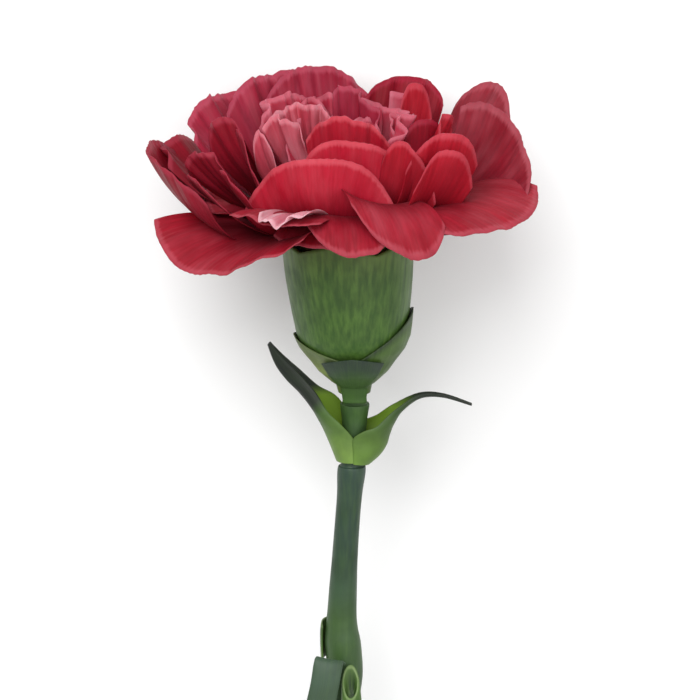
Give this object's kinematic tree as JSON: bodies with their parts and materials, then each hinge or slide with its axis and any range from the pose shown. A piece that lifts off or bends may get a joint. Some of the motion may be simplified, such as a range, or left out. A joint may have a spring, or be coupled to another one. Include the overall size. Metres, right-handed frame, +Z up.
{
  "type": "cut carnation",
  "caption": "Double carnation flower with a green calyx on a short cut stem, laid down; a decorative cut flower.",
  "frame": {"origin": "centre of the flower's bounding box, on the surface it lies on", "axes": "+Z up from the table, +Y from the cut end of the stem towards the bloom, +X to the right as the bloom is seen with its stem down"},
  "size_m": [0.072, 0.248, 0.0592],
  "materials": {
    "petal_crimson": "matte",
    "calyx_green": "satin",
    "stem_green": "satin",
    "leaf_green": "satin"
  },
  "bodies": {
    "root": {"bloom": "petal_crimson", "calyx": "calyx_green", "epicalyx_left": "calyx_green", "epicalyx_right": "calyx_green", "epicalyx_front": "calyx_green", "epicalyx_back": "calyx_green", "stem": "stem_green", "upper_leaf_left": "leaf_green", "upper_leaf_right": "leaf_green", "lower_leaf_front": "leaf_green", "lower_sheath_back": "leaf_green", "side_shoot_stub": "leaf_green"}
  },
  "joints": []
}
